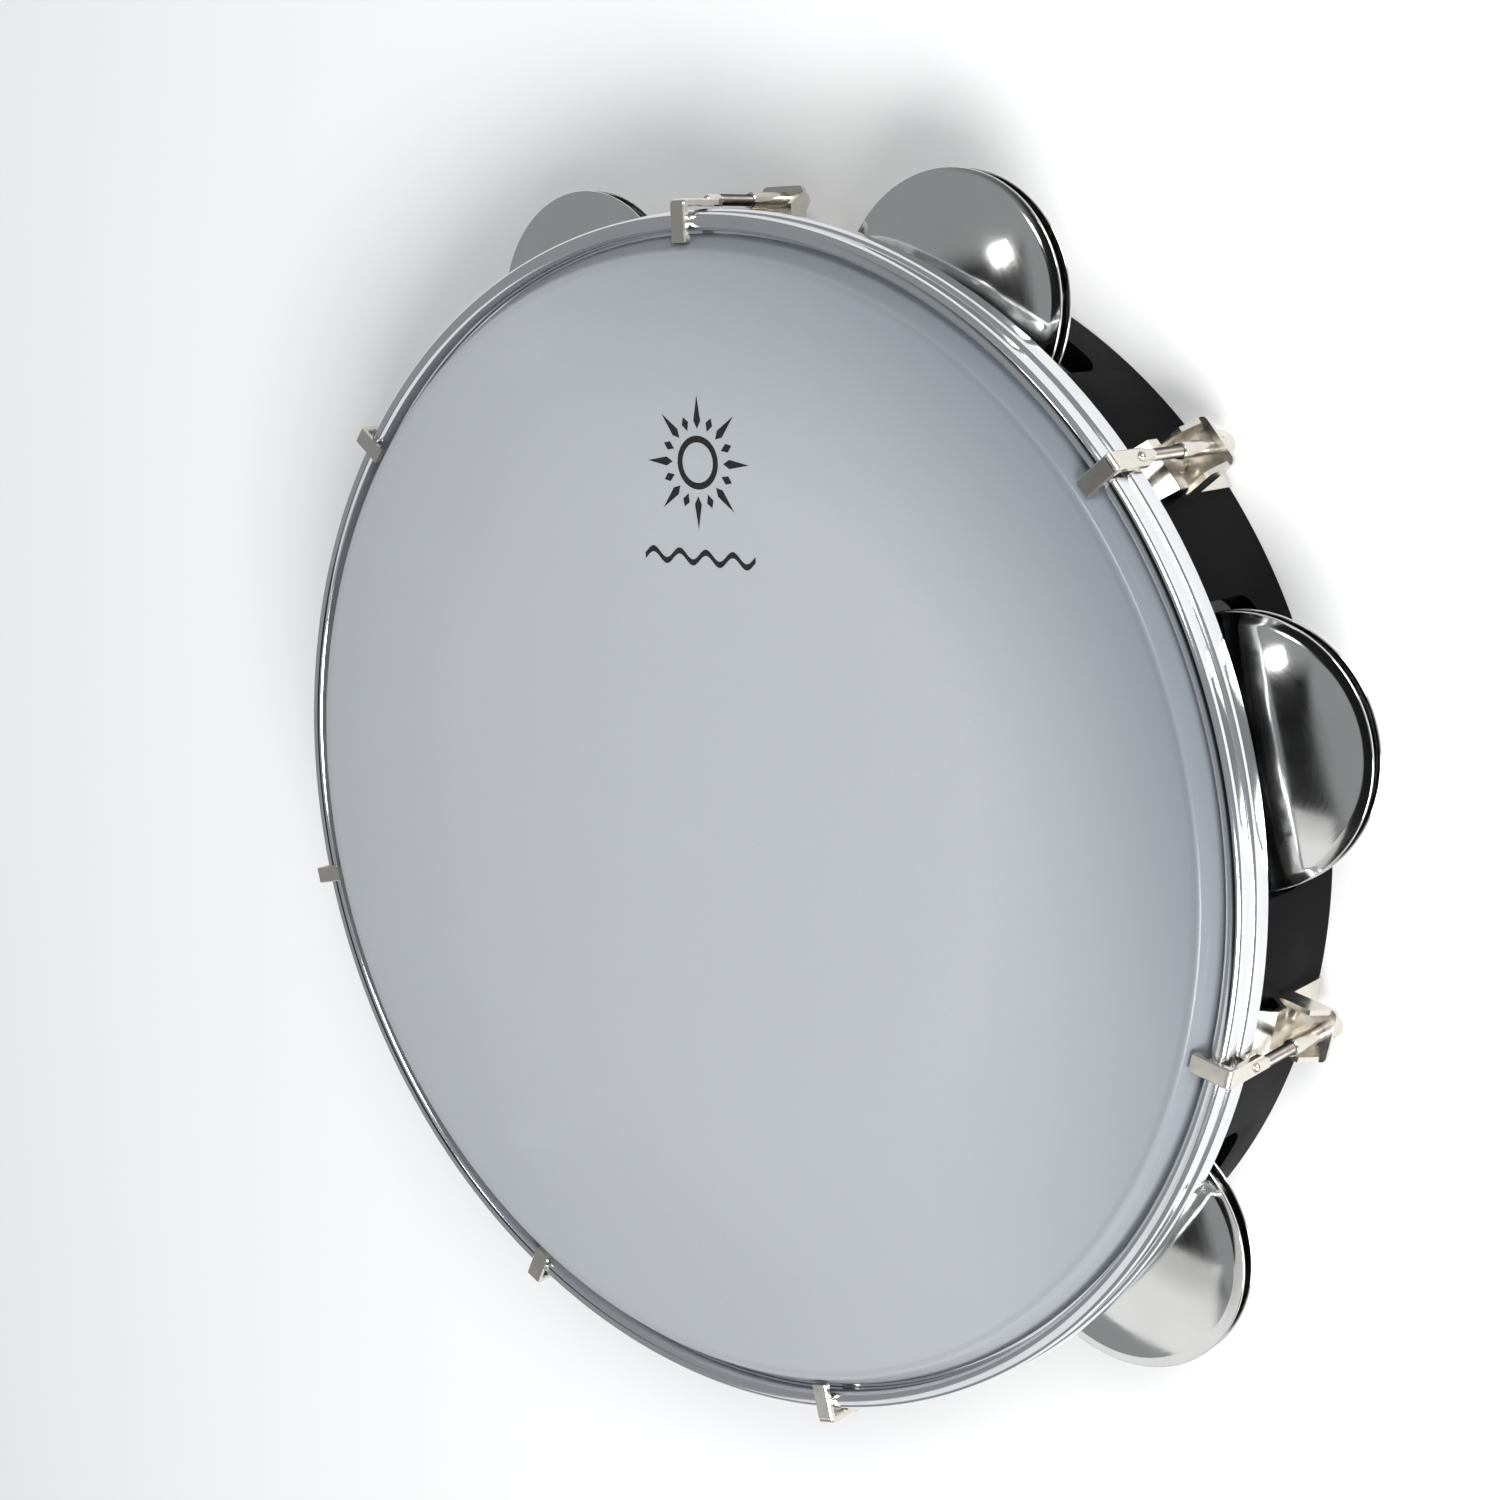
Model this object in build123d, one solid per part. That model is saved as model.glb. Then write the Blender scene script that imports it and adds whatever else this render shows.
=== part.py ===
from build123d import *
import math
import os

os.makedirs("parts", exist_ok=True)

# Pandeiro-style tambourine, millimetres.  The drum lies on its open back, head up.
# Origin: centre of the shell's back rim.  +Z runs along the drum's axis towards the head.
# +X points at the middle of the first jingle slot.

# Layout round the shell
STATIONS = 7                      # equal stations, each with one lug and room for one jingle slot
GRIP_STATION = 5                  # the station left without a jingle, where the hand holds the shell
GRIP_LUG_SHIFT = -11.3            # degrees that the lug beside the grip is moved round
PITCH = 360.0 / STATIONS

# Shell
SHELL_OUTER_RADIUS = 152.0
SHELL_WALL = 6.0
HEAD_HEIGHT = 60.0                # playing surface above the back rim
RIM_ROUND = 1.0                   # rounding of the back rim
BEARING_SETBACK = 2.8             # crest's outer edge inside the shell's outside
BEARING_WIDTH = 2.2               # crest that the head bears on
BEARING_SLOPE_HEIGHT = 7.0        # height of the sloped outer flank below the crest
BEARING_ROUND = 1.2

# Head film
FILM_THICKNESS = 0.25
FILM_SKIRT = 4.5                  # how far the film runs down inside the flesh hoop

# Hoops
FLESH_HOOP_GAP = 1.2              # from the shell to the flesh hoop's inner wall
FLESH_HOOP_WIDTH = 6.1
FLESH_HOOP_HEIGHT = 6.3
FLESH_HOOP_ROUND = 2.2
COUNTER_HOOP_WIDTH = 4.5
COUNTER_HOOP_HEIGHT = 5.0
COUNTER_HOOP_ROUND = 1.9
COUNTER_HOOP_SETBACK = 0.9        # how far its outside stays inside the flesh hoop's
HOOP_DROP = 2.0                   # the counter hoop's top below the playing surface
EDGE_ROUND = 0.7

# Jingles and their slots
DISC_RADIUS = 32.5
DISC_LIP = 2.0                    # flat lip round the dome
DISC_DOME_HEIGHT = 5.2
DISC_THICKNESS = 0.7
DISC_HOLE_RADIUS = 2.0
PAIR_GAP = 3.3                    # between the lips of a pair at rest
DISC_SLOT_GAP = 0.3               # from a dome's crown to the end of its slot
SLID_PAIR = 3                     # the pair that has slid down its pin at rest
SLID_DISTANCE = 8.9
SLOT_HEIGHT = 26.0
SLOT_SIDE_GAP = 2.5               # from a disc's rim to the slot's end
SLOT_CORNER = 6.0
SLOT_BACK = 15.0                  # height of the slot's lower edge above the back rim
PIN_RADIUS = 1.2
PIN_CHAMFER = 0.24
PIN_EMBED = 6.0                   # length of the pin in the wall above the slot
PIN_HOLE_CLEARANCE = 0.03

# Tension hooks
HOOK_WIDTH = 4.8
HOOK_THICKNESS = 1.9
HOOK_SIDE_GAP = 0.6               # from the flesh hoop to the hook's leg
HOOK_SEAT_GAP = 0.05              # from the counter hoop's top to the claw
HOOK_REACH = 2.9                  # claw past the counter hoop's inner edge
HOOK_LIP_DROP = 0.45
HOOK_LIP_WIDTH = 1.5
HOOK_LEG_LENGTH = 16.0            # from the claw's top to the end of the flat leg
HOOK_EDGE_CHAMFER = 0.35
HOOK_BEND_RADIUS = 1.71           # outside of the bend from claw to leg
HOOK_INNER_RADIUS = 0.57          # inside of that bend
ROD_RADIUS = 1.475                # over the thread's crests
THREAD_PITCH = 0.5
THREAD_DEPTH = 0.3
THREAD_LENGTH = 13.0              # cut length below the flat leg
ROD_OFFSET = 0.2                  # rod's inner side outside the leg's inner face
ROD_PAST_PLATE = 5.05             # from the lug plate's front face to the rod's end

# Tuning nuts
NUT_BARREL_RADIUS = 2.1
NUT_BARREL_LENGTH = 13.7          # in front of the lug plate
NUT_HEX_FLATS = 6.6
NUT_HEX_LENGTH = 4.6
NUT_DOME_LENGTH = 4.2
NUT_TIP_RADIUS = 0.9
NUT_TIP_LENGTH = 0.7
NUT_TIP_ROUND = 0.42
NUT_SHOULDER_RADIUS = 2.64        # dome's radius part way down
NUT_SHOULDER_DROP = 2.31          # how far down the dome that is
NUT_MOUTH_CHAMFER = 0.25
THREAD_CLEARANCE = 0.05
NUT_PLATE_GAP = 0.05
NUT_BORE_SPARE = 1.5              # bore past the rod's end

# Lug brackets
LUG_SHEET = 1.3
LUG_WIDTH = 13.7
LUG_PLATE_FRONT = 18.0            # height of the plate's front face above the back rim
LUG_PLATE_MARGIN = 3.7            # plate's outer edge past the rod's axis
LUG_PLATE_CORNER = 1.6
LUG_HOLE_CLEARANCE = 0.1
LUG_CHEEK_DEPTH = 5.0
LUG_CHEEK_CHAMFER = 3.0
LUG_REAR_END = 2.0                # height of the rear foot's end above the back rim
LUG_HUMP_START = 24.6             # height where the hump leaves the shell, on the plate's side
LUG_HUMP_LENGTH = 9.5
LUG_HUMP_HEIGHT = 3.4

# Rivets through the lug brackets and the shell
RIVET_RADIUS = 1.4
RIVET_CLEARANCE = 0.05
RIVET_HEAD_RADIUS = 2.3
RIVET_HEAD_HEIGHT = 1.1
RIVET_HEAD_ROUND = 0.88
RIVET_FRONT_HEIGHT = 21.6
RIVET_REAR_HEIGHT = 8.0

# Making the solids
OVERCUT = 1.0                     # how far a cutter runs past what it cuts
MERGE = 0.1                       # how far pieces of one solid run into each other
TOUCH = 0.01                      # how near an edge is to a place to be picked there

# Sizes that follow from the ones above
shell_inner_radius = SHELL_OUTER_RADIUS - SHELL_WALL
film_underside = HEAD_HEIGHT - FILM_THICKNESS
shell_height = film_underside
wall_middle = SHELL_OUTER_RADIUS - SHELL_WALL / 2
bearing_outer = SHELL_OUTER_RADIUS - BEARING_SETBACK
bearing_inner = bearing_outer - BEARING_WIDTH
flesh_inner = SHELL_OUTER_RADIUS + FLESH_HOOP_GAP
flesh_outer = flesh_inner + FLESH_HOOP_WIDTH
counter_outer = flesh_outer - COUNTER_HOOP_SETBACK
counter_inner = counter_outer - COUNTER_HOOP_WIDTH
counter_top = HEAD_HEIGHT - HOOP_DROP
flesh_top = counter_top - COUNTER_HOOP_HEIGHT
flesh_bottom = flesh_top - FLESH_HOOP_HEIGHT

slot_front = SLOT_BACK + SLOT_HEIGHT
slot_length = 2 * (DISC_RADIUS + SLOT_SIDE_GAP)
front_lip = slot_front - DISC_SLOT_GAP - DISC_DOME_HEIGHT - DISC_THICKNESS
back_lip = front_lip - PAIR_GAP

claw_under = counter_top + HOOK_SEAT_GAP
claw_top = claw_under + HOOK_THICKNESS
claw_tip = counter_inner - HOOK_REACH
leg_inner = flesh_outer + HOOK_SIDE_GAP
leg_outer = leg_inner + HOOK_THICKNESS
leg_end = claw_top - HOOK_LEG_LENGTH
rod_axis = leg_inner + ROD_OFFSET + ROD_RADIUS
rod_end = LUG_PLATE_FRONT - ROD_PAST_PLATE
nut_barrel_top = LUG_PLATE_FRONT + NUT_BARREL_LENGTH
plate_back = LUG_PLATE_FRONT - LUG_SHEET
nut_head_top = plate_back - NUT_PLATE_GAP
nut_bore_end = rod_end - NUT_BORE_SPARE
plate_outer = rod_axis + LUG_PLATE_MARGIN
hump_end = LUG_HUMP_START + LUG_HUMP_LENGTH
foot_outer = SHELL_OUTER_RADIUS + LUG_SHEET


def save(shape, node):
    """Write one node's solids to its own file."""
    export_step(shape, "parts/" + node + ".step")


def turned(shape, degrees):
    """The shape turned about the drum's axis."""
    return Rot(0, 0, degrees) * shape


def ring(inner, outer, bottom, top):
    """Plain ring about the drum's axis."""
    height = top - bottom
    body = Cylinder(outer, height, align=(Align.CENTER, Align.CENTER, Align.MIN))
    hole = Cylinder(inner, height, align=(Align.CENTER, Align.CENTER, Align.MIN))
    return Pos(0, 0, bottom) * (body - hole)


def rod(radius, bottom, top, along=0.0):
    """Upright cylinder standing at a distance along +X."""
    body = Cylinder(radius, top - bottom, align=(Align.CENTER, Align.CENTER, Align.MIN))
    return Pos(along, 0, bottom) * body


def spoke(radius, start, end, height):
    """Cylinder lying along +X between two distances from the drum's axis."""
    body = Cylinder(radius, end - start, align=(Align.CENTER, Align.CENTER, Align.MIN))
    return Pos(start, 0, height) * Rot(0, 90, 0) * body


def block(x0, x1, y0, y1, z0, z1):
    """Box between two corners."""
    body = Box(x1 - x0, y1 - y0, z1 - z0, align=(Align.MIN, Align.MIN, Align.MIN))
    return Pos(x0, y0, z0) * body


def side_face(points):
    """Closed outline in the plane through the drum's axis and +X, as a face."""
    corners = [(x, 0, z) for x, z in points]
    return make_face(Polyline(*corners, close=True))


def lug_angles():
    """Direction of each lug, between neighbouring jingle stations."""
    angles = []
    for station in range(STATIONS):
        angle = (station + 0.5) * PITCH
        if station == GRIP_STATION:
            angle += GRIP_LUG_SHIFT
        angles.append(angle)
    return angles


def jingle_angles():
    """Direction of each jingle slot, skipping the grip."""
    return [station * PITCH for station in range(STATIONS) if station != GRIP_STATION]


def slot_cutter():
    """Rounded block that cuts one jingle slot through the wall on +X."""
    depth = 3 * SHELL_WALL
    inner = wall_middle - depth / 2
    half = slot_length / 2
    cutter = block(inner, inner + depth, -half, half, SLOT_BACK, slot_front)
    corner = min(SLOT_CORNER, 0.45 * SLOT_HEIGHT)
    return fillet(cutter.edges().filter_by(Axis.X), corner)


def shell():
    """Moulded shell with its bearing edge, slots, pin holes and rivet holes."""
    flank_bottom = shell_height - BEARING_SLOPE_HEIGHT
    profile = side_face([
        (shell_inner_radius, 0),
        (SHELL_OUTER_RADIUS, 0),
        (SHELL_OUTER_RADIUS, flank_bottom),
        (bearing_outer, shell_height),
        (bearing_inner, shell_height),
        (shell_inner_radius, shell_height - BEARING_WIDTH),
    ])
    body = revolve(profile, Axis.Z, 360)
    rim_edges = body.edges().filter_by(GeomType.CIRCLE).group_by(Axis.Z)[0]
    body = fillet(rim_edges, RIM_ROUND)
    crest_edges = body.edges().filter_by(GeomType.CIRCLE).group_by(Axis.Z)[-1]
    body = fillet(crest_edges.sort_by(SortBy.RADIUS)[-1], BEARING_ROUND)
    for angle in jingle_angles():
        body -= turned(slot_cutter(), angle)
        pin_hole = rod(PIN_RADIUS + PIN_HOLE_CLEARANCE, -OVERCUT, slot_front + PIN_EMBED, wall_middle)
        body -= turned(pin_hole, angle)
    for angle in lug_angles():
        for height in (RIVET_FRONT_HEIGHT, RIVET_REAR_HEIGHT):
            hole = spoke(RIVET_RADIUS + RIVET_CLEARANCE, shell_inner_radius - 2 * OVERCUT,
                         SHELL_OUTER_RADIUS + 2 * OVERCUT, height)
            body -= turned(hole, angle)
    return body


def film_line(offset):
    """One face of the film: flat over the crest, down the collar and the skirt."""
    skirt_radius = flesh_inner - FILM_THICKNESS
    run = skirt_radius - bearing_outer
    drop = film_underside - flesh_top
    turn = math.atan2(drop, run)
    crest = bearing_outer + offset * math.tan(turn / 2)
    knee = flesh_top + offset * math.tan(math.pi / 4 - turn / 2)
    return FilletPolyline(
        (0, 0, film_underside + offset),
        (crest, 0, film_underside + offset),
        (skirt_radius + offset, 0, knee),
        (skirt_radius + offset, 0, flesh_top - FILM_SKIRT),
        radius=BEARING_ROUND + offset,
    )


def drumhead():
    """Stretched film with its collar and skirt, one thin sheet."""
    under = film_line(0)
    over = film_line(FILM_THICKNESS)
    outline = [under, over, Line(under @ 0, over @ 0), Line(under @ 1, over @ 1)]
    return revolve(make_face(outline), Axis.Z, 360)


def flesh_hoop():
    """Ring that the film is bonded into."""
    body = ring(flesh_inner, flesh_outer, flesh_bottom, flesh_top)
    circles = body.edges().filter_by(GeomType.CIRCLE)
    top_outer = circles.group_by(Axis.Z)[-1].sort_by(SortBy.RADIUS)[-1]
    body = fillet(top_outer, FLESH_HOOP_ROUND)
    circles = body.edges().filter_by(GeomType.CIRCLE)
    return fillet(circles.group_by(Axis.Z)[0], EDGE_ROUND)


def counter_hoop():
    """Ring that the hooks pull down on the flesh hoop."""
    body = ring(counter_inner, counter_outer, flesh_top, counter_top)
    circles = body.edges().filter_by(GeomType.CIRCLE)
    body = fillet(circles.group_by(Axis.Z)[-1], COUNTER_HOOP_ROUND)
    circles = body.edges().filter_by(GeomType.CIRCLE)
    return fillet(circles.group_by(Axis.Z)[0], EDGE_ROUND)


def jingle_disc(lip_height, upward):
    """Dished disc on +X with a flat lip, its dome facing up or down."""
    dome_edge = DISC_RADIUS - DISC_LIP
    sphere_radius = (dome_edge ** 2 + DISC_DOME_HEIGHT ** 2) / (2 * DISC_DOME_HEIGHT)
    centre = DISC_DOME_HEIGHT - sphere_radius
    skin = DISC_THICKNESS
    outer_radius = sphere_radius + skin
    flat_edge = math.sqrt(outer_radius ** 2 - (skin - centre) ** 2)
    hole_low = centre + math.sqrt(sphere_radius ** 2 - DISC_HOLE_RADIUS ** 2)
    hole_high = centre + math.sqrt(outer_radius ** 2 - DISC_HOLE_RADIUS ** 2)
    half_low = math.radians(90) - math.asin((dome_edge + DISC_HOLE_RADIUS) / 2 / sphere_radius)
    half_high = math.radians(90) - math.asin((flat_edge + DISC_HOLE_RADIUS) / 2 / outer_radius)
    low_middle = (sphere_radius * math.cos(half_low), 0, centre + sphere_radius * math.sin(half_low))
    high_middle = (outer_radius * math.cos(half_high), 0, centre + outer_radius * math.sin(half_high))
    low_arc = ThreePointArc((DISC_HOLE_RADIUS, 0, hole_low), low_middle, (dome_edge, 0, 0))
    high_arc = ThreePointArc((flat_edge, 0, skin), high_middle, (DISC_HOLE_RADIUS, 0, hole_high))
    outline = [
        low_arc,
        Line((dome_edge, 0, 0), (DISC_RADIUS, 0, 0)),
        Line((DISC_RADIUS, 0, 0), (DISC_RADIUS, 0, skin)),
        Line((DISC_RADIUS, 0, skin), (flat_edge, 0, skin)),
        high_arc,
        Line((DISC_HOLE_RADIUS, 0, hole_high), (DISC_HOLE_RADIUS, 0, hole_low)),
    ]
    disc = revolve(make_face(outline), Axis.Z, 360)
    if not upward:
        disc = Rot(180, 0, 0) * disc
    return Pos(wall_middle, 0, lip_height) * disc


def jingle_pin():
    """Plain steel pin through the back rim, the slot and into the wall above it."""
    body = rod(PIN_RADIUS, RIM_ROUND, slot_front + PIN_EMBED, wall_middle)
    return chamfer(body.edges().filter_by(GeomType.CIRCLE), PIN_CHAMFER)


def threaded_rod():
    """Round rod of the hook, with the thread's ridges below the flat leg."""
    crest = ROD_RADIUS
    root = ROD_RADIUS - THREAD_DEPTH
    ridges = int(THREAD_LENGTH / THREAD_PITCH)
    points = [(0, leg_end), (root, leg_end)]
    for ridge in range(ridges):
        top = leg_end - ridge * THREAD_PITCH
        points.append((crest, top - THREAD_PITCH / 2))
        points.append((root, top - THREAD_PITCH))
    thread_end = leg_end - ridges * THREAD_PITCH
    points.append((crest, thread_end - THREAD_PITCH / 2))
    points.append((crest, rod_end + THREAD_DEPTH))
    points.append((root, rod_end))
    points.append((0, rod_end))
    return Pos(rod_axis, 0, 0) * revolve(side_face(points), Axis.Z, 360)


def tension_hook():
    """Claw, flat leg and threaded rod in one piece, on +X."""
    lip_bottom = claw_under - HOOK_LIP_DROP
    lip_end = claw_tip + HOOK_LIP_WIDTH
    outline = side_face([
        (leg_outer, leg_end),
        (leg_outer, claw_top),
        (claw_tip, claw_top - HOOK_LIP_DROP / 2),
        (claw_tip, claw_under),
        (claw_tip + HOOK_LIP_DROP, lip_bottom),
        (lip_end, lip_bottom),
        (lip_end + HOOK_LIP_DROP, claw_under),
        (leg_inner, claw_under),
        (leg_inner, leg_end),
    ])
    half = HOOK_WIDTH / 2
    bar = extrude(outline, half, dir=(0, 1, 0), both=True)
    across = bar.edges().filter_by(Axis.Y)
    bend = across.group_by(Axis.X)[-1].sort_by(Axis.Z)[-1]
    bar = fillet(bend, HOOK_BEND_RADIUS)
    inner = [e for e in bar.edges().filter_by(Axis.Y)
             if abs(e.center().X - leg_inner) < TOUCH and abs(e.center().Z - claw_under) < TOUCH]
    bar = fillet(inner, HOOK_INNER_RADIUS)
    taper = half - ROD_RADIUS
    taper_top = leg_end + 3 * taper
    for side in (-1, 1):
        wedge = make_face(Polyline(
            (0, side * (half + MERGE), taper_top),
            (0, side * (half + MERGE), leg_end - OVERCUT),
            (0, side * ROD_RADIUS, leg_end - OVERCUT),
            (0, side * ROD_RADIUS, leg_end),
            close=True,
        ))
        bar -= Pos(leg_inner - OVERCUT, 0, 0) * extrude(wedge, HOOK_THICKNESS + 2 * OVERCUT, dir=(1, 0, 0))
    rims = [e for e in bar.edges()
            if abs(abs(e.center().Y) - half) < TOUCH and e.center().Z > taper_top + HOOK_EDGE_CHAMFER]
    bar = chamfer(rims, HOOK_EDGE_CHAMFER)
    shoulder_base = taper_top + taper
    root_rod = rod(ROD_RADIUS, leg_end, shoulder_base, rod_axis)
    shoulder = Pos(rod_axis, 0, shoulder_base) * Sphere(ROD_RADIUS)
    return bar + root_rod + shoulder + threaded_rod()


def tension_nut():
    """Sleeve nut with a domed hexagon head behind the lug plate, on +X."""
    hex_bottom = nut_head_top - NUT_HEX_LENGTH
    dome_bottom = hex_bottom - NUT_DOME_LENGTH
    corner = NUT_HEX_FLATS / math.sqrt(3)
    flat = NUT_HEX_FLATS / 2
    hexagon = Pos(0, 0, dome_bottom) * extrude(
        RegularPolygon(corner, 6), nut_head_top - dome_bottom)
    envelope = revolve(side_face([
        (0, nut_head_top),
        (flat, nut_head_top),
        (corner, nut_head_top - (corner - flat)),
        (corner, hex_bottom),
        (NUT_SHOULDER_RADIUS, hex_bottom - NUT_SHOULDER_DROP),
        (NUT_TIP_RADIUS, dome_bottom),
        (0, dome_bottom),
    ]), Axis.Z, 360)
    head = hexagon & envelope
    barrel = rod(NUT_BARREL_RADIUS, nut_head_top - MERGE, nut_barrel_top)
    barrel = chamfer(barrel.edges().group_by(Axis.Z)[-1], NUT_MOUTH_CHAMFER)
    tip = rod(NUT_TIP_RADIUS, dome_bottom - NUT_TIP_LENGTH, dome_bottom + MERGE)
    tip = fillet(tip.edges().group_by(Axis.Z)[0], NUT_TIP_ROUND)
    bore = rod(ROD_RADIUS + THREAD_CLEARANCE, nut_bore_end, nut_barrel_top + OVERCUT)
    return Pos(rod_axis, 0, 0) * (head + barrel + tip - bore)


def lug_strip():
    """Foot strip that hugs the shell, with the hump in front of the plate."""
    inner = SHELL_OUTER_RADIUS
    outer = foot_outer
    crown = inner + LUG_HUMP_HEIGHT
    third = LUG_HUMP_LENGTH / 3
    start = LUG_HUMP_START
    under = [
        (inner, LUG_REAR_END),
        (inner, start),
        (crown, start + third),
        (crown, hump_end - third),
        (inner, hump_end),
    ]
    slope = math.hypot(LUG_HUMP_HEIGHT, third)
    lift = LUG_SHEET * (slope - third) / LUG_HUMP_HEIGHT
    over = [
        (inner, hump_end + LUG_SHEET * slope / LUG_HUMP_HEIGHT),
        (crown + LUG_SHEET, hump_end - third + lift),
        (crown + LUG_SHEET, start + third - lift),
        (outer, start - lift),
        (outer, LUG_REAR_END),
    ]
    half_angle = math.degrees(math.asin(LUG_WIDTH / 2 / outer))
    profile = side_face(under + over)
    return turned(revolve(profile, Axis.Z, 2 * half_angle), -half_angle)


def lug_bracket():
    """Pressed lug: foot strip, plate with the nut's hole, and two cheeks, on +X."""
    half = LUG_WIDTH / 2
    root = SHELL_OUTER_RADIUS + LUG_SHEET / 2
    plate = block(root, plate_outer, -half, half, plate_back, LUG_PLATE_FRONT)
    outer_corners = plate.edges().filter_by(Axis.Z).group_by(Axis.X)[-1]
    plate = fillet(outer_corners, LUG_PLATE_CORNER)
    body = lug_strip() + plate
    cheek_top = LUG_PLATE_FRONT + LUG_CHEEK_DEPTH
    cheek_outer = plate_outer - LUG_PLATE_CORNER
    cheek_face = side_face([
        (root, LUG_PLATE_FRONT - LUG_SHEET / 2),
        (cheek_outer, LUG_PLATE_FRONT - LUG_SHEET / 2),
        (cheek_outer, LUG_PLATE_FRONT),
        (cheek_outer - LUG_CHEEK_CHAMFER, cheek_top),
        (root, cheek_top),
    ])
    cheek = extrude(cheek_face, LUG_SHEET, dir=(0, 1, 0))
    body += Pos(0, half - LUG_SHEET, 0) * cheek
    body += Pos(0, -half, 0) * cheek
    hole = rod(NUT_BARREL_RADIUS + LUG_HOLE_CLEARANCE, plate_back - OVERCUT,
               LUG_PLATE_FRONT + OVERCUT, rod_axis)
    body -= hole
    for height in (RIVET_FRONT_HEIGHT, RIVET_REAR_HEIGHT):
        body -= spoke(RIVET_RADIUS + RIVET_CLEARANCE, SHELL_OUTER_RADIUS - OVERCUT,
                      foot_outer + OVERCUT, height)
    return body


def rivet(height):
    """Round-headed rivet through a lug's foot and the shell wall, on +X."""
    inner_seat = math.sqrt(shell_inner_radius ** 2 - RIVET_HEAD_RADIUS ** 2)
    body = spoke(RIVET_RADIUS, inner_seat - MERGE, foot_outer + MERGE, height)
    outer_head = spoke(RIVET_HEAD_RADIUS, foot_outer, foot_outer + RIVET_HEAD_HEIGHT, height)
    inner_head = spoke(RIVET_HEAD_RADIUS, inner_seat - RIVET_HEAD_HEIGHT, inner_seat, height)
    outer_rim = outer_head.edges().filter_by(GeomType.CIRCLE).group_by(Axis.X)[-1]
    inner_rim = inner_head.edges().filter_by(GeomType.CIRCLE).group_by(Axis.X)[0]
    body += fillet(outer_rim, RIVET_HEAD_ROUND)
    body += fillet(inner_rim, RIVET_HEAD_ROUND)
    return body


save(shell(), "shell")
save(drumhead(), "drumhead")
save(flesh_hoop(), "flesh_hoop")
save(counter_hoop(), "counter_hoop")

front_disc = jingle_disc(front_lip, True)
back_disc = jingle_disc(back_lip, False)
pin = jingle_pin()
for number, angle in enumerate(jingle_angles(), start=1):
    slide = SLID_DISTANCE if number == SLID_PAIR else 0
    save(Pos(0, 0, -slide) * turned(front_disc, angle), f"jingle_front_{number}")
    save(Pos(0, 0, -slide) * turned(back_disc, angle), f"jingle_back_{number}")
    save(turned(pin, angle), f"jingle_pin_{number}")

hook = tension_hook()
nut = tension_nut()
bracket = lug_bracket()
rivets = []
for number, angle in enumerate(lug_angles(), start=1):
    save(turned(hook, angle), f"tension_hook_{number}")
    save(turned(nut, angle), f"tension_nut_{number}")
    save(turned(bracket, angle), f"lug_bracket_{number}")
    for height in (RIVET_FRONT_HEIGHT, RIVET_REAR_HEIGHT):
        rivets.append(turned(rivet(height), angle))
save(Compound(children=rivets), "bracket_rivets")
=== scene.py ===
import math

import bmesh
import bpy
from mathutils import Matrix, Vector


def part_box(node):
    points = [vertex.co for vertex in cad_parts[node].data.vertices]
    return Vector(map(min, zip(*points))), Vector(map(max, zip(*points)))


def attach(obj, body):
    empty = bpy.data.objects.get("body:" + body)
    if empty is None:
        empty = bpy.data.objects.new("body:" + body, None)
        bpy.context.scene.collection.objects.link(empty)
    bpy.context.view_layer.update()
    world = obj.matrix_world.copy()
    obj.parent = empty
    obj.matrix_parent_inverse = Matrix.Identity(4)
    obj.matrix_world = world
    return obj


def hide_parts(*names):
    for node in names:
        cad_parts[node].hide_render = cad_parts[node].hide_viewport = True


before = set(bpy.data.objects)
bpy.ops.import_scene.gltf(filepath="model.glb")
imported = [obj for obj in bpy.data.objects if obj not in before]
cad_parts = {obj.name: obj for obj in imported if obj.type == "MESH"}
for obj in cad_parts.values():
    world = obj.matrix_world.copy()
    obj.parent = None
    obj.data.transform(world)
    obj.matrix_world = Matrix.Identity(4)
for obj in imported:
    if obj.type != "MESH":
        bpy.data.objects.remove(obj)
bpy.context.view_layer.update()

MM = 0.001
JINGLES = range(1, 7)
LUGS = range(1, 8)

# Turned pieces
HOOP_SEGMENTS = 720
DISC_SEGMENTS = 240
PIN_HOLE_SEGMENTS = 48
RING_SEGMENTS = 96
CORNER_STEPS = 8                  # steps in a rounded corner
DOME_STEPS = 28
SMOOTH_ANGLE = 35.0               # degrees past which an edge stays crisp

# Shell, in metres
WALL = 6.0 * MM
RIM_ROUND = 1.0 * MM
BEARING_SETBACK = 2.8 * MM
BEARING_WIDTH = 2.2 * MM
BEARING_SLOPE_HEIGHT = 7.0 * MM
BEARING_ROUND = 1.2 * MM
SLOT_BACK = 15.0 * MM
SLOT_CORNER = 6.0 * MM
SLOT_SIDE_GAP = 2.5 * MM
SLOT_FRONT_GAP = 0.3 * MM
SLOT_EDGE_ROUND = 0.45 * MM
SLOT_EDGE_STEPS = 3
SLOT_EDGE_ANGLE = 50.0            # degrees past which an edge is rounded
PIN_CLEARANCE = 0.03 * MM

# Head
FILM_THICKNESS = 0.22 * MM
FILM_SINK = 0.03 * MM             # film's top below the CAD head's, to leave room for the printed mark
MARK_THICKNESS = 0.02 * MM

# Hoops
FLESH_ROUND = 2.2 * MM
COUNTER_ROUND = 1.9 * MM
EDGE_ROUND = 0.7 * MM
COUNTER_WIDTH = 4.5 * MM

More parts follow.
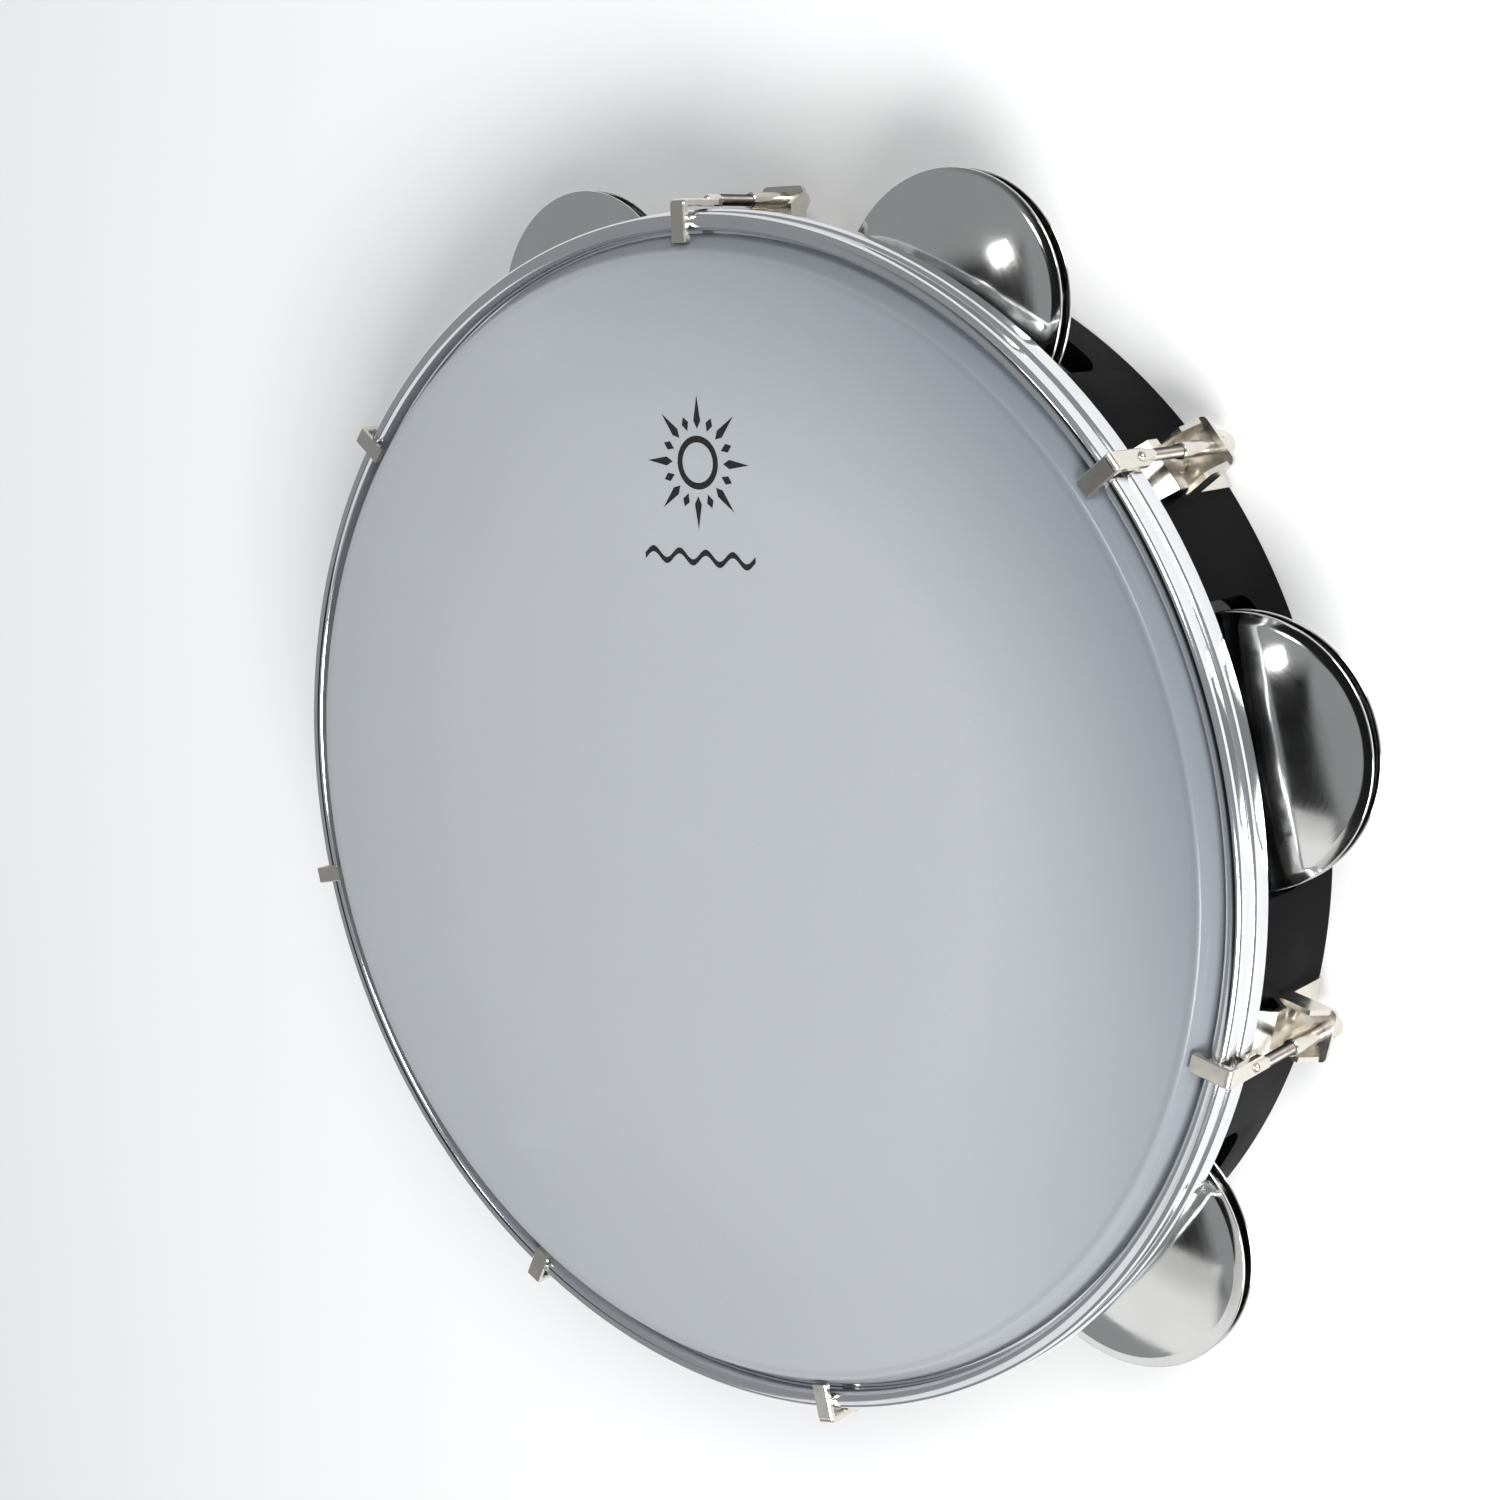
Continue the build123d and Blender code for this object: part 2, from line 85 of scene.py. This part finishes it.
# Painted shade on the film: darker colour that grows with the distance from the axis and towards one side
SHADE_START = 92 * MM
SHADE_END = 148 * MM
SHADE_Y_SHARE = 0.35              # how far the shaded side leans from +X to +Y
SHADE_SIDE_START = 20 * MM
SHADE_SIDE_END = 150 * MM
SHADE_LEAST = 0.15                # share of the shade on the side away from it
PAINTED_SHADE_COLOUR = (0.37, 0.405, 0.445, 1)

# Hooks: how far below a claw's top its dark thread starts, and the width of the change
CLAW_TO_THREAD = 16.0 * MM
THREAD_BLUR = 0.8 * MM

# Jingle discs
DISC_LIP = 2.0 * MM
DISC_SKIN = 0.7 * MM
DISC_HOLE = 2.0 * MM
DISC_RIM_ROUND = 0.3 * MM

# Printed mark: its middle on the head, its size and the direction that reads as upright
MARK_MIDDLE = (26.0 * MM, 93.0 * MM)
MARK_UPRIGHT = 76.5               # degrees from +X
MARK_RADIUS = 17.0 * MM
MARK_RAYS = 16

# Shares of the mark's radius
MARK_RING = (0.30, 0.40)
RAY_FOOT = 0.5
RAY_WIDEST = 0.62
SHORT_RAY = 0.72
WAVE_HALF_LENGTH = 1.1
WAVE_DROP = 1.42

RAY_SLENDERNESS = 0.11            # half width of a ray over its distance from the middle
WAVE_PITCH = 9.0 * MM
WAVE_HEIGHT = 1.4 * MM
WAVE_HALF_WIDTH = 0.8 * MM
WAVE_STEPS = 72


def corner_arc(before, corner, after, rounding):
    """Points that round one corner of an outline."""
    here = Vector(corner)
    back = (Vector(before) - here).normalized()
    on = (Vector(after) - here).normalized()
    half = math.acos(max(-1.0, min(1.0, back.dot(on)))) / 2
    if rounding <= 0 or half > math.radians(89):
        return [tuple(here)]
    centre = here + (back + on).normalized() * (rounding / math.sin(half))
    start = here + back * (rounding / math.tan(half)) - centre
    end = here + on * (rounding / math.tan(half)) - centre
    sweep = math.atan2(start.x * end.y - start.y * end.x, start.dot(end))
    points = []
    for step in range(CORNER_STEPS + 1):
        turn = Matrix.Rotation(sweep * step / CORNER_STEPS, 2)
        points.append(tuple(centre + turn @ start))
    return points


def rounded(corners):
    """Closed outline through (across, up, rounding) corners."""
    outline = []
    for index, (across, up, rounding) in enumerate(corners):
        before = corners[index - 1][:2]
        after = corners[(index + 1) % len(corners)][:2]
        outline += corner_arc(before, (across, up), after, rounding)
    return outline


def arc(centre_height, radius, start_across, end_across, steps):
    """Points on a circle centred on the axis, above its centre, between two distances from the axis."""
    first = math.asin(start_across / radius)
    last = math.asin(end_across / radius)
    points = []
    for step in range(steps + 1):
        angle = first + (last - first) * step / steps
        points.append((radius * math.sin(angle), centre_height + radius * math.cos(angle)))
    return points


def finish_mesh(mesh, name):
    """Turns a bmesh into an object with outward normals and crisp edges past SMOOTH_ANGLE."""
    bmesh.ops.recalc_face_normals(mesh, faces=mesh.faces)
    for edge in mesh.edges:
        edge.smooth = len(edge.link_faces) == 2 and edge.calc_face_angle() < math.radians(SMOOTH_ANGLE)
    for face in mesh.faces:
        face.smooth = True
    data = bpy.data.meshes.new(name)
    mesh.to_mesh(data)
    mesh.free()
    piece = bpy.data.objects.new(name, data)
    bpy.context.scene.collection.objects.link(piece)
    return piece


def lathe_mesh(outline, segments):
    """Closed outline of (radius, height) points turned about Z, as a bmesh."""
    mesh = bmesh.new()
    rings = []
    for radius, height in outline:
        if radius < MM / 100:
            rings.append([mesh.verts.new((0, 0, height))] * segments)
            continue
        ring = []
        for segment in range(segments):
            angle = 2 * math.pi * segment / segments
            ring.append(mesh.verts.new((radius * math.cos(angle), radius * math.sin(angle), height)))
        rings.append(ring)
    for index, ring in enumerate(rings):
        upper = rings[(index + 1) % len(rings)]
        for segment in range(segments):
            after = (segment + 1) % segments
            around = [ring[segment], ring[after], upper[after], upper[segment]]
            corners = list(dict.fromkeys(around))
            if len(corners) > 2:
                mesh.faces.new(corners)
    return mesh


def lathe(name, outline, segments):
    """Turned piece about Z."""
    return finish_mesh(lathe_mesh(outline, segments), name)


def prism(name, outline, low, high):
    """Outline in the YZ plane drawn out along X between two distances."""
    mesh = bmesh.new()
    near = [mesh.verts.new((low, across, up)) for across, up in outline]
    far = [mesh.verts.new((high, across, up)) for across, up in outline]
    mesh.faces.new(near)
    mesh.faces.new(far)
    for index in range(len(outline)):
        after = (index + 1) % len(outline)
        mesh.faces.new([near[index], near[after], far[after], far[index]])
    return finish_mesh(mesh, name)


def apply_modifiers(piece):
    """Bakes a piece's modifiers into its mesh."""
    bpy.context.view_layer.update()
    evaluated = piece.evaluated_get(bpy.context.evaluated_depsgraph_get())
    data = bpy.data.meshes.new_from_object(evaluated)
    piece.modifiers.clear()
    piece.data = data


def cut(piece, cutters):
    """Takes the cutters out of a piece and removes them."""
    for cutter in cutters:
        modifier = piece.modifiers.new("cut", "BOOLEAN")
        modifier.operation = "DIFFERENCE"
        modifier.solver = "EXACT"
        modifier.object = cutter
    apply_modifiers(piece)
    for cutter in cutters:
        bpy.data.objects.remove(cutter)


def middle(node):
    """Centre of a CAD node's box."""
    low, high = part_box(node)
    return (low + high) / 2


def dress(piece, body, nodes, material):
    """Gives a new piece its body, the CAD nodes it stands for and its material."""
    piece.data.materials.clear()
    piece.data.materials.append(material)
    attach(piece, body)
    if nodes:
        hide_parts(*nodes)


# Materials

def principled(material):
    """A material's Principled shader."""
    return material.node_tree.nodes["Principled BSDF"]


def shader(name, **uniform):
    """Material with one Principled shader, and the values that are the same all over it."""
    material = bpy.data.materials.new(name)
    material.use_nodes = True
    for socket, value in uniform.items():
        principled(material).inputs[socket.replace("_", " ")].default_value = value
    return material


def add(material, kind, **settings):
    """New node with its settings."""
    node = material.node_tree.nodes.new("ShaderNode" + kind)
    for setting, value in settings.items():
        setattr(node, setting, value)
    return node


def feed(material, node, **sources):
    """Connects sockets, or sets plain numbers, on a node's inputs by name or place."""
    for name, source in sources.items():
        key = int(name[1:]) if name[0] == "i" and name[1:].isdigit() else name.replace("_", " ")
        if isinstance(source, bpy.types.NodeSocket):
            material.node_tree.links.new(source, node.inputs[key])
        else:
            node.inputs[key].default_value = source
    return node


def math_node(material, operation, first, second=0.0):
    """One arithmetic step."""
    node = add(material, "Math", operation=operation)
    feed(material, node, i0=first, i1=second)
    return node.outputs[0]


def place(material):
    """Coordinates fixed to the piece, in metres."""
    return add(material, "TexCoord").outputs["Object"]


def parts_of(material, vector):
    """A vector's X, Y and Z."""
    axes = add(material, "SeparateXYZ")
    feed(material, axes, Vector=vector)
    return axes.outputs


def from_axis(material, x, y):
    """Distance from the piece's Z axis."""
    x_squared = math_node(material, "MULTIPLY", x, x)
    y_squared = math_node(material, "MULTIPLY", y, y)
    return math_node(material, "SQRT", math_node(material, "ADD", x_squared, y_squared))


def round_the_axis(material, along, across):
    """Coordinates drawn out along circles about the piece's Z axis, so that marks run round it."""
    x, y, z = parts_of(material, place(material))
    radius = math_node(material, "MAXIMUM", from_axis(material, x, y), MM / 10)
    depth = math_node(material, "MULTIPLY", math_node(material, "ADD", radius, z), across)
    joined = add(material, "CombineXYZ")
    feed(
        material, joined,
        X=math_node(material, "MULTIPLY", math_node(material, "DIVIDE", x, radius), along),
        Y=math_node(material, "MULTIPLY", math_node(material, "DIVIDE", y, radius), along),
        Z=depth,
    )
    return joined.outputs[0]


def noise(material, vector, scale, detail):
    """Soft noise from 0 to 1."""
    node = add(material, "TexNoise")
    feed(material, node, Vector=vector, Scale=scale, Detail=detail)
    return node.outputs["Fac"]


def span(material, value, low, high, start=0.3, end=0.7):
    """Maps start..end to low..high, clamped."""
    node = add(material, "MapRange")
    feed(material, node, Value=value, From_Min=start, From_Max=end, To_Min=low, To_Max=high)
    return node.outputs["Result"]


def blend_colours(material, factor, first, second):
    """Mix of two colours."""
    node = add(material, "Mix", data_type="RGBA")
    feed(material, node, i0=factor, i6=first, i7=second)
    return node.outputs[2]


def relief(material, layers):
    """Bump from (height, strength, distance) layers, one on another."""
    normal = None
    for height, strength, distance in layers:
        node = add(material, "Bump")
        feed(material, node, Height=height, Strength=strength, Distance=distance)
        if normal is not None:
            feed(material, node, Normal=normal)
        normal = node.outputs["Normal"]
    return normal


def shell_plastic():
    """Black moulded plastic: satin, with a fine moulded skin and faint handling marks."""
    material = shader("shell_plastic_black", Specular_IOR_Level=0.02)
    where = place(material)
    smears = noise(material, where, 28.0, 4.0)
    skin = noise(material, where, 2600.0, 2.0)
    waves = noise(material, where, 160.0, 2.0)
    feed(
        material, principled(material),
        Base_Color=blend_colours(material, smears, (0.001, 0.001, 0.0012, 1), (0.0025, 0.0025, 0.003, 1)),
        Roughness=span(material, smears, 0.34, 0.50),
        Normal=relief(material, [(waves, 0.10, 0.2 * MM), (skin, 0.16, 0.03 * MM)]),
    )
    return material


def head_film():
    """Milky plastic film: hazy, part see-through, finely sanded, with painted shade darkening it near the
    rim on one side.
    """
    material = shader(
        "head_film_milky", Transmission_Weight=0.45, IOR=1.35, Coat_Weight=0.25, Coat_Roughness=0.14,
    )
    where = place(material)
    grain = noise(material, where, 1900.0, 2.0)
    cloud = noise(material, where, 14.0, 3.0)
    milk = blend_colours(material, grain, (0.62, 0.645, 0.675, 1), (0.72, 0.745, 0.77, 1))
    milk = blend_colours(material, span(material, cloud, 0.0, 0.25), milk, (0.67, 0.705, 0.745, 1))
    x, y, _ = parts_of(material, where)
    near_rim = span(material, from_axis(material, x, y), 0.0, 1.0, SHADE_START, SHADE_END)
    sideways = math_node(material, "ADD", x, math_node(material, "MULTIPLY", y, SHADE_Y_SHARE))
    one_side = span(material, sideways, SHADE_LEAST, 1.0, SHADE_SIDE_START, SHADE_SIDE_END)
    # painted shade: the film's colour darkens towards the rim on the +X side, standing in for the shell's
    # shadow behind the film
    shade = math_node(material, "MULTIPLY", near_rim, one_side)
    feed(
        material, principled(material),
        Base_Color=blend_colours(material, shade, milk, PAINTED_SHADE_COLOUR),
        Roughness=span(material, cloud, 0.28, 0.34),
        Normal=relief(material, [(grain, 0.12, 0.03 * MM)]),
    )
    return material


def mark_ink():
    """Matt black screen-printing ink with thin places."""
    material = shader("mark_ink_black", Specular_IOR_Level=0.3)
    where = place(material)
    speckle = noise(material, where, 1400.0, 3.0)
    feed(
        material, principled(material),
        Base_Color=blend_colours(
            material, span(material, speckle, 0.0, 1.0), (0.008, 0.008, 0.009, 1), (0.022, 0.022, 0.024, 1),
        ),
        Roughness=span(material, speckle, 0.45, 0.62),
        Normal=relief(material, [(speckle, 0.2, 0.01 * MM)]),
    )
    return material


def turned_metal(name, light, dark, polish, dull, lines, dents):
    """Polished metal whose fine marks run round the piece."""
    material = shader(name, Metallic=1.0)
    swirl = noise(material, round_the_axis(material, 2.2, 5200.0), 1.0, 3.0)
    smears = noise(material, place(material), 70.0, 4.0)
    wavy = noise(material, place(material), 45.0, 1.0)
    smeared = span(material, smears, polish, dull)
    gloss = math_node(material, "ADD", smeared, span(material, swirl, 0.0, 0.04))
    feed(
        material, principled(material),
        Base_Color=blend_colours(material, smears, light, dark),
        Roughness=gloss,
        Normal=relief(material, [(wavy, dents, 0.6 * MM), (swirl, lines, 0.012 * MM)]),
    )
    return material


def lug_nickel(name, thread_top=None):
    """Nickel plate with soft wear; below thread_top it is the dark, oily thread."""
    material = shader(name, Metallic=1.0)
    where = place(material)
    patches = noise(material, where, 260.0, 4.0)
    scratches = noise(material, where, 3200.0, 2.0)
    colour = blend_colours(material, patches, (0.62, 0.585, 0.52, 1), (0.80, 0.77, 0.71, 1))
    gloss = span(material, patches, 0.13, 0.27)
    if thread_top is not None:
        height = parts_of(material, where)[2]
        oily = span(material, height, 1.0, 0.0, thread_top - THREAD_BLUR / 2, thread_top + THREAD_BLUR / 2)
        colour = blend_colours(material, oily, colour, (0.17, 0.155, 0.14, 1))
        gloss = math_node(material, "ADD", gloss, math_node(material, "MULTIPLY", oily, 0.2))
    feed(
        material, principled(material),
        Base_Color=colour,
        Roughness=gloss,
        Normal=relief(material, [(patches, 0.06, 0.2 * MM), (scratches, 0.10, 0.01 * MM)]),
    )
    return material


def floor_paper():
    """Pale studio paper."""
    material = shader("floor_paper", Specular_IOR_Level=0.1)
    fibre = noise(material, place(material), 900.0, 4.0)
    tone = noise(material, place(material), 3.0, 2.0)
    feed(
        material, principled(material),
        Base_Color=blend_colours(material, tone, (0.86, 0.86, 0.86, 1), (0.89, 0.89, 0.89, 1)),
        Roughness=span(material, fibre, 0.75, 0.95),
        Normal=relief(material, [(fibre, 0.05, 0.05 * MM)]),
    )
    return material


# Pieces

def build_shell(material):
    """Shell with its bearing edge, rounded slots and pin holes."""
    low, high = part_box("shell")
    outer = high.x
    inner = outer - WALL
    crest = outer - BEARING_SETBACK
    disc_low, disc_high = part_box("jingle_front_1")
    slot_half = (disc_high.y - disc_low.y) / 2 + SLOT_SIDE_GAP
    slot_front = disc_high.z + SLOT_FRONT_GAP
    outline = rounded([
        (inner, low.z, RIM_ROUND),
        (outer, low.z, RIM_ROUND),
        (outer, high.z - BEARING_SLOPE_HEIGHT, 2 * BEARING_ROUND),
        (crest, high.z, BEARING_ROUND),
        (crest - BEARING_WIDTH, high.z, BEARING_ROUND / 4),
        (inner, high.z - BEARING_WIDTH, BEARING_ROUND),
    ])
    shell = lathe("shell_moulded", outline, HOOP_SEGMENTS)
    window = rounded([
        (-slot_half, SLOT_BACK, SLOT_CORNER),
        (slot_half, SLOT_BACK, SLOT_CORNER),
        (slot_half, slot_front, SLOT_CORNER),
        (-slot_half, slot_front, SLOT_CORNER),
    ])
    cutters = []
    for number in JINGLES:
        pin_low, pin_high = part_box(f"jingle_pin_{number}")
        pin_middle = middle(f"jingle_pin_{number}")
        angle = math.atan2(pin_middle.y, pin_middle.x)
        slot = prism(f"slot_cutter_{number}", window, inner - WALL, outer + WALL)
        slot.matrix_world = Matrix.Rotation(angle, 4, "Z")
        hole_radius = (pin_high.x - pin_low.x) / 2 + PIN_CLEARANCE
        foot = low.z - WALL
        hole_outline = [(0, foot), (hole_radius, foot), (hole_radius, pin_high.z), (0, pin_high.z)]
        hole = lathe(f"pin_cutter_{number}", hole_outline, PIN_HOLE_SEGMENTS)
        hole.location = (pin_middle.x, pin_middle.y, 0)
        cutters += [slot, hole]
    cut(shell, cutters)
    soften = shell.modifiers.new("soften", "BEVEL")
    soften.width = SLOT_EDGE_ROUND
    soften.segments = SLOT_EDGE_STEPS
    soften.limit_method = "ANGLE"
    soften.angle_limit = math.radians(SLOT_EDGE_ANGLE)
    soften.harden_normals = True
    apply_modifiers(shell)
    dress(shell, "drum", ["shell"], material)


def build_head(material):
    """Film over the bearing edge, down the collar and into the flesh hoop."""
    low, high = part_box("drumhead")
    shell_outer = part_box("shell")[1].x
    collar_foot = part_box("flesh_hoop")[1].z
    top = high.z - FILM_SINK
    crest = shell_outer - BEARING_SETBACK
    run = high.x - crest
    lean = math.atan2(top - collar_foot, run)
    inset = FILM_THICKNESS * math.tan(lean / 2)
    knee = FILM_THICKNESS * math.tan(math.pi / 4 - lean / 2)
    middle_ring = crest / 2
    outline = rounded([
        (0, top, 0),
        (middle_ring, top, 0),
        (crest, top, BEARING_ROUND + FILM_THICKNESS),
        (high.x, collar_foot + knee, BEARING_ROUND + FILM_THICKNESS),
        (high.x, low.z, 0),
        (high.x - FILM_THICKNESS, low.z, 0),
        (high.x - FILM_THICKNESS, collar_foot, BEARING_ROUND),
        (crest - inset, top - FILM_THICKNESS, BEARING_ROUND),
        (middle_ring, top - FILM_THICKNESS, 0),
        (0, top - FILM_THICKNESS, 0),
    ])
    film = lathe("head_film", outline, HOOP_SEGMENTS)
    dress(film, "drum", ["drumhead"], material)
    return top


def flat_shape(mesh, points, low, high):
    """Adds one printed shape with a little thickness."""
    under = [mesh.verts.new((x, y, low)) for x, y in points]
    over = [mesh.verts.new((x, y, high)) for x, y in points]
    mesh.faces.new(under)
    mesh.faces.new(over)
    for index in range(len(points)):
        after = (index + 1) % len(points)
        mesh.faces.new([under[index], under[after], over[after], over[index]])


def ring_shape(mesh, inner, outer, low, high):
    """Adds a printed ring."""
    loops = []
    for radius, height in ((inner, low), (outer, low), (outer, high), (inner, high)):
        loop = []
        for segment in range(RING_SEGMENTS):
            angle = 2 * math.pi * segment / RING_SEGMENTS
            loop.append(mesh.verts.new((radius * math.cos(angle), radius * math.sin(angle), height)))
        loops.append(loop)
    for index, loop in enumerate(loops):
        upper = loops[(index + 1) % len(loops)]
        for segment in range(RING_SEGMENTS):
            after = (segment + 1) % RING_SEGMENTS
            mesh.faces.new([loop[segment], loop[after], upper[after], upper[segment]])


def build_mark(head_top, material):
    """Plain sunburst with a waved line under it, printed on the film."""
    mesh = bmesh.new()
    low = -MARK_THICKNESS
    high = MARK_THICKNESS
    ring_shape(mesh, MARK_RING[0] * MARK_RADIUS, MARK_RING[1] * MARK_RADIUS, low, high)
    widest = RAY_WIDEST * MARK_RADIUS
    for ray in range(MARK_RAYS):
        reach = MARK_RADIUS if ray % 2 == 0 else SHORT_RAY * MARK_RADIUS
        turn = Matrix.Rotation(2 * math.pi * ray / MARK_RAYS, 2)
        points = [
            (RAY_FOOT * MARK_RADIUS, 0),
            (widest, RAY_SLENDERNESS * widest),
            (reach, 0),
            (widest, -RAY_SLENDERNESS * widest),
        ]
        flat_shape(mesh, [tuple(turn @ Vector(point)) for point in points], low, high)
    upper = []
    lower = []
    for step in range(WAVE_STEPS + 1):
        x = WAVE_HALF_LENGTH * MARK_RADIUS * (2 * step / WAVE_STEPS - 1)
        y = WAVE_HEIGHT * math.sin(2 * math.pi * x / WAVE_PITCH) - WAVE_DROP * MARK_RADIUS
        upper.append((x, y + WAVE_HALF_WIDTH))
        lower.append((x, y - WAVE_HALF_WIDTH))
    flat_shape(mesh, upper + lower[::-1], low, high)
    mark = finish_mesh(mesh, "head_mark")
    turn = Matrix.Rotation(math.radians(MARK_UPRIGHT - 90), 4, "Z")
    mark.matrix_world = Matrix.Translation((*MARK_MIDDLE, head_top)) @ turn
    dress(mark, "drum", [], material)


def build_hoops(material):
    """Flesh hoop and counter hoop, both plated."""
    low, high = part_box("flesh_hoop")
    film_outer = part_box("drumhead")[1].x
    flesh = rounded([
        (film_outer, low.z, EDGE_ROUND),
        (high.x, low.z, EDGE_ROUND),
        (high.x, high.z, FLESH_ROUND),
        (film_outer, high.z, 0),
    ])
    dress(lathe("hoop_flesh", flesh, HOOP_SEGMENTS), "drum", ["flesh_hoop"], material)
    low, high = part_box("counter_hoop")
    inner = high.x - COUNTER_WIDTH
    counter = rounded([
        (inner, low.z, EDGE_ROUND),
        (high.x, low.z, EDGE_ROUND),
        (high.x, high.z, COUNTER_ROUND),
        (inner, high.z, COUNTER_ROUND),
    ])
    dress(lathe("hoop_counter", counter, HOOP_SEGMENTS), "drum", ["counter_hoop"], material)


def disc_outline(radius, dome_height):
    """Dished disc with a flat lip and a hole, its lip's underside at height 0."""
    dome_edge = radius - DISC_LIP
    sphere = (dome_edge ** 2 + dome_height ** 2) / (2 * dome_height)
    centre = dome_height - sphere
    outer_sphere = sphere + DISC_SKIN
    flat_edge = math.sqrt(outer_sphere ** 2 - (DISC_SKIN - centre) ** 2)
    rim = rounded([
        (dome_edge, 0, 0),
        (radius, 0, DISC_RIM_ROUND),
        (radius, DISC_SKIN, DISC_RIM_ROUND),
        (flat_edge, DISC_SKIN, 0),
    ])
    under = arc(centre, sphere, DISC_HOLE, dome_edge, DOME_STEPS)
    over = arc(centre, outer_sphere, flat_edge, DISC_HOLE, DOME_STEPS)
    return under[:-1] + rim + over[1:]


def build_jingles(material):
    """Front and back discs of each pair, with their domes outwards."""
    low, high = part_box("jingle_front_1")
    radius = (high.x - low.x) / 2
    dome_height = high.z - low.z - DISC_SKIN
    pattern = lathe("disc_pattern", disc_outline(radius, dome_height), DISC_SEGMENTS)
    for number in JINGLES:
        for side in ("front", "back"):
            node = f"jingle_{side}_{number}"
            low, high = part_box(node)
            disc = bpy.data.objects.new(f"disc_{side}_{number}", pattern.data.copy())
            bpy.context.scene.collection.objects.link(disc)
            across = middle(node)
            if side == "front":
                disc.matrix_world = Matrix.Translation((across.x, across.y, low.z))
            else:
                turned_over = Matrix.Rotation(math.pi, 4, "X")
                disc.matrix_world = Matrix.Translation((across.x, across.y, high.z)) @ turned_over
            dress(disc, node, [node], material)
    bpy.data.objects.remove(pattern)


def dress_cad(names, material):
    """Better material on CAD nodes whose shape is right."""
    for name in names:
        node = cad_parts[name]
        for slot in node.material_slots:
            slot.material = material


# Studio

CAMERA_AIM = Vector((22.74, 18.76, 58.0)) * MM
CAMERA_DISTANCE = 590.04 * MM
CAMERA_AZIMUTH = 4.690
CAMERA_ELEVATION = 48.278
CAMERA_ROLL = 104.715
CAMERA_LENS = 55.2
CAMERA_NEAR = 0.01
LAMP_AIM = (0, 0, 0.03)
FLOOR_SIZE = 6.0
FLOOR_CELLS = 8
DARK_SIDE = 0.012                 # brightness of the room overhead, behind the drum
LIGHT_SIDE = 0.33
ROOM_TINT = (0.94, 0.97, 1.0, 1)

# Where the room turns from dark to light, along directions of length 1
FRONT_EDGE = (-0.05, -0.01)
LEFT_EDGE = (0.22, 0.34)
HIGH_EDGE = (0.80, 0.88)


def build_camera():
    """Camera looking down on the head from beyond the first jingle."""
    azimuth = math.radians(CAMERA_AZIMUTH)
    elevation = math.radians(CAMERA_ELEVATION)
    level_share = math.cos(elevation)
    back = Vector((level_share * math.cos(azimuth), level_share * math.sin(azimuth), math.sin(elevation)))
    upright = (Vector((0, 0, 1)) - back * back.z).normalized()
    level = upright.cross(back)
    roll = math.radians(CAMERA_ROLL)
    up = upright * math.cos(roll) + level * math.sin(roll)
    across = up.cross(back)
    turn = Matrix((across, up, back)).transposed().to_4x4()
    data = bpy.data.cameras.new("camera")
    data.lens = CAMERA_LENS
    data.clip_start = CAMERA_NEAR
    camera = bpy.data.objects.new("camera", data)
    camera.matrix_world = Matrix.Translation(CAMERA_AIM + back * CAMERA_DISTANCE) @ turn
    bpy.context.scene.collection.objects.link(camera)
    bpy.context.scene.camera = camera


def softbox(name, position, size, power):
    """Square studio light turned to the object."""
    data = bpy.data.lights.new(name, "AREA")
    data.shape = "SQUARE"
    data.size = size
    data.energy = power
    light = bpy.data.objects.new(name, data)
    light.location = position
    light.rotation_euler = (Vector(LAMP_AIM) - Vector(position)).to_track_quat("-Z", "Y").to_euler()
    bpy.context.scene.collection.objects.link(light)


def surround():
    """Light grey room, dark overhead on the side behind the drum."""
    world = bpy.data.worlds.new("studio")
    world.use_nodes = True
    x, y, z = parts_of(world, add(world, "TexCoord").outputs["Generated"])
    in_front = span(world, x, DARK_SIDE, LIGHT_SIDE, *FRONT_EDGE)
    to_the_left = span(world, y, DARK_SIDE, LIGHT_SIDE, *LEFT_EDGE)
    low_down = span(world, z, LIGHT_SIDE, DARK_SIDE, *HIGH_EDGE)
    light = math_node(world, "MAXIMUM", math_node(world, "MAXIMUM", in_front, to_the_left), low_down)
    feed(world, world.node_tree.nodes["Background"], Color=ROOM_TINT, Strength=light)
    return world


def build_studio():
    """Pale floor, grey surround and soft lights."""
    mesh = bmesh.new()
    bmesh.ops.create_grid(mesh, x_segments=FLOOR_CELLS, y_segments=FLOOR_CELLS, size=FLOOR_SIZE / 2)
    floor = finish_mesh(mesh, "floor")
    floor.data.materials.append(floor_paper())
    bpy.context.scene.world = surround()
    softbox("key_left", (1.3, 0.8, 1.3), 0.7, 18.5)
    softbox("key_right", (1.1, -0.9, 1.2), 0.8, 33.0)
    softbox("fill_low", (-0.35, -0.65, 0.85), 0.75, 1.1)
    softbox("spot_high", (-0.1, 0.5, 1.3), 0.12, 0.5)
    bpy.context.scene.view_settings.view_transform = "Standard"


chrome = turned_metal(
    "hoop_chrome_plate", light=(0.80, 0.81, 0.83, 1), dark=(0.70, 0.71, 0.73, 1),
    polish=0.05, dull=0.13, lines=0.25, dents=0.05,
)
steel = turned_metal(
    "jingle_steel_polished", light=(0.80, 0.795, 0.78, 1), dark=(0.70, 0.695, 0.68, 1),
    polish=0.04, dull=0.12, lines=0.2, dents=0.10,
)
nickel = lug_nickel("lug_nickel_plate")
claw_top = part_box("tension_hook_1")[1].z
hook_nickel = lug_nickel("hook_nickel_plate", thread_top=claw_top - CLAW_TO_THREAD)

build_shell(shell_plastic())
mark_height = build_head(head_film())
build_mark(mark_height, mark_ink())
build_hoops(chrome)
build_jingles(steel)
dress_cad([f"lug_bracket_{number}" for number in LUGS] + ["bracket_rivets"], nickel)
dress_cad([f"tension_nut_{number}" for number in LUGS], nickel)
dress_cad([f"tension_hook_{number}" for number in LUGS], hook_nickel)
dress_cad([f"jingle_pin_{number}" for number in JINGLES], steel)
build_camera()
build_studio()
